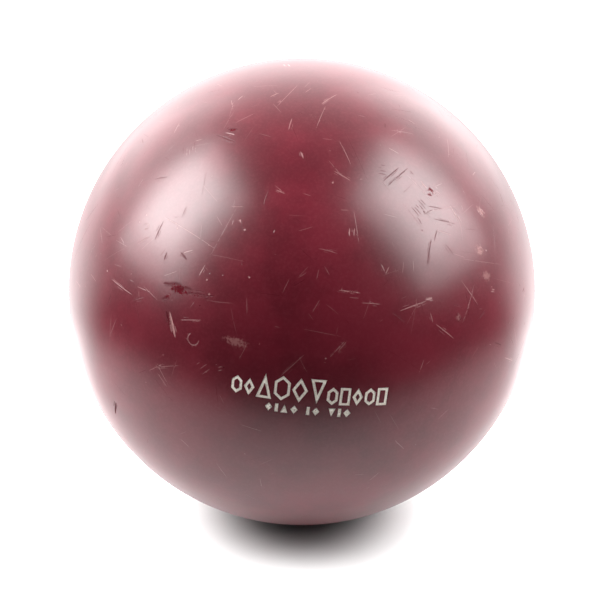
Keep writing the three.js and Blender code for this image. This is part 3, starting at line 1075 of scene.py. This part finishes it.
def make_floor():
    """A white table. What the ball sees of it is painted darker a few radii away, as its light
    falling off, except behind it. The camera sees it with a painted contact shadow and a painted
    glow that burns it out to white.
    """
    shape = bmesh.new()
    bmesh.ops.create_grid(shape, x_segments=24, y_segments=24, size=FLOOR_SIZE / 2)
    mesh = bpy.data.meshes.new("floor")
    shape.to_mesh(mesh)
    shape.free()
    nodes = MaterialNodes("floor_white")
    split = nodes.add("ShaderNodeSeparateXYZ")
    nodes.link(nodes.place, split.inputs["Vector"])
    camera = nodes.add("ShaderNodeLightPath").outputs["Is Camera Ray"]

    def distance(stretch):
        """How far a spot is from the ball's foot, in metres, after stretching the table."""
        scaled = nodes.add("ShaderNodeVectorMath", operation="MULTIPLY")
        nodes.link(nodes.place, scaled.inputs[0])
        scaled.inputs[1].default_value = stretch
        length = nodes.add("ShaderNodeVectorMath", operation="LENGTH")
        nodes.link(scaled.outputs["Vector"], length.inputs[0])
        return length.outputs["Value"]

    def fade(stretch, reach, out_low, out_high):
        """A value that changes between two distances, given in ball radii."""
        low, high = (radii * BALL_RADIUS * MM for radii in reach)
        return nodes.ramp(distance(stretch), low, high, out_low, out_high)

    # As the ball sees it, the table's colour is painted darker away from the ball, standing in for
    # its light falling off.
    near = fade(TABLE_NARROW, TABLE_FADE, TABLE_WHITE, 0.0)
    away = nodes.math("MAXIMUM", distance(ROUND), FOOT)
    behind = nodes.math("DIVIDE", split.outputs["Y"], away)
    sweep = nodes.math("SUBTRACT", nodes.ramp(behind, *SWEEP_TURN, 0.0, SWEEP_LIGHT),
                       nodes.ramp(behind, *SWEEP_DIP, 0.0, SWEEP_LOSS))
    sweep = nodes.math("MULTIPLY", sweep, fade(ROUND, TABLE_FADE, 0.0, 1.0))
    beyond = nodes.math("MULTIPLY", nodes.ramp(away, *WHITE_TABLE, 0.0, 1.0),
                        nodes.ramp(behind, *BACKDROP_EDGE, 1.0, 0.0))
    within = nodes.math("SUBTRACT", 1.0, beyond)
    # Painted glow: the camera sees the table glow more the further it lies from the ball, and a
    # pale wall beyond.
    burnt = nodes.math("MULTIPLY", fade(SHADOW_NARROW, CAMERA_WHITE, 0.0, 1.0), within)
    burnt = nodes.math("ADD", burnt, nodes.math("MULTIPLY", beyond, PALE_WALL))
    # Painted contact shadow: the camera sees the table's colour darken towards the ball's foot.
    shaded = nodes.math("MULTIPLY", fade(SHADOW_NARROW, CONTACT_SHADE, *CONTACT_WHITES), within)
    nodes.set(Base_Color=nodes.mix(camera, near, shaded), Roughness=0.9)
    nodes.set(Specular_IOR_Level=0.0, Emission_Color=(1, 1, 1, 1))
    nodes.set(Emission_Strength=nodes.mix(camera, sweep, burnt, "FLOAT"))
    mesh.materials.append(nodes.material)
    floor = bpy.data.objects.new("floor", mesh)
    floor.location.z = -BALL_RADIUS * MM
    bpy.context.scene.collection.objects.link(floor)


def make_softbox(name, azimuth, elevation, width, height, radiance):
    """A soft white panel; width and height are the angles that it spans, in degrees."""
    light = bpy.data.lights.new(name, "AREA")
    light.shape = "RECTANGLE"
    light.size = 2 * SOFTBOX_DISTANCE * math.tan(math.radians(width / 2))
    light.size_y = 2 * SOFTBOX_DISTANCE * math.tan(math.radians(height / 2))
    light.energy = math.pi * light.size * light.size_y * radiance
    box = bpy.data.objects.new(name, light)
    box.location = Vector(direction(azimuth, elevation)) * SOFTBOX_DISTANCE
    box.rotation_mode = "QUATERNION"
    box.rotation_quaternion = box.location.to_track_quat("Z", "Y")
    box.visible_camera = False
    bpy.context.scene.collection.objects.link(box)


def make_world():
    """A white backdrop behind the ball, and pale walls to its sides and front."""
    world = bpy.data.worlds.new("studio")
    world.use_nodes = True
    nodes = Nodes(world.node_tree)

    def background(strength):
        node = nodes.add("ShaderNodeBackground")
        node.inputs["Color"].default_value = (1, 1, 1, 1)
        nodes.link(strength, node.inputs["Strength"])
        return node.outputs["Background"]

    split = nodes.add("ShaderNodeSeparateXYZ")
    nodes.link(nodes.add("ShaderNodeTexCoord").outputs["Generated"], split.inputs["Vector"])
    backwards = split.outputs["Y"]
    place = nodes.add("ShaderNodeMapRange")
    nodes.link(backwards, place.inputs["Value"])
    place.inputs["From Min"].default_value = -1
    ramp = nodes.add("ShaderNodeValToRGB")
    nodes.link(place.outputs["Result"], ramp.inputs["Fac"])
    brightest = max(light for _, light in STUDIO_LIGHT)
    stops = ramp.color_ramp.elements
    stops.remove(stops[1])
    for i, (turned, light) in enumerate(STUDIO_LIGHT):
        at = (turned + 1) / 2
        stop = stops.new(at) if i else stops[0]
        stop.position = at
        stop.color = [light / brightest] * 3 + [1]
    lit = nodes.math("MULTIPLY", ramp.outputs["Color"], brightest)
    shown = nodes.ramp(backwards, *BACKDROP_EDGE, PALE_WALL, BACKDROP_WHITE)
    choose = nodes.add("ShaderNodeMixShader")
    nodes.link(nodes.add("ShaderNodeLightPath").outputs["Is Camera Ray"], choose.inputs["Fac"])
    nodes.link(background(lit), choose.inputs[1])
    nodes.link(background(shown), choose.inputs[2])
    output = nodes.add("ShaderNodeOutputWorld")
    nodes.link(choose.outputs["Shader"], output.inputs["Surface"])
    bpy.context.scene.world = world


make_floor()
# Each softbox has a bright middle within a larger, dimmer panel.
make_softbox("softbox_left", -81.5, 36.5, 46, 51, 6.0)
make_softbox("softbox_left_middle", -83, 38, 28, 33, 9.5)
make_softbox("softbox_right", 80.5, 37.5, 48, 53, 4.9)
make_softbox("softbox_right_middle", 82, 40, 29, 35, 6.5)
make_softbox("bounce_left", -130, 33, 40, 34, 1.2)
make_softbox("bounce_right", 138, 31, 40, 36, 1.1)
make_world()
bpy.context.scene.view_settings.view_transform = "Standard"
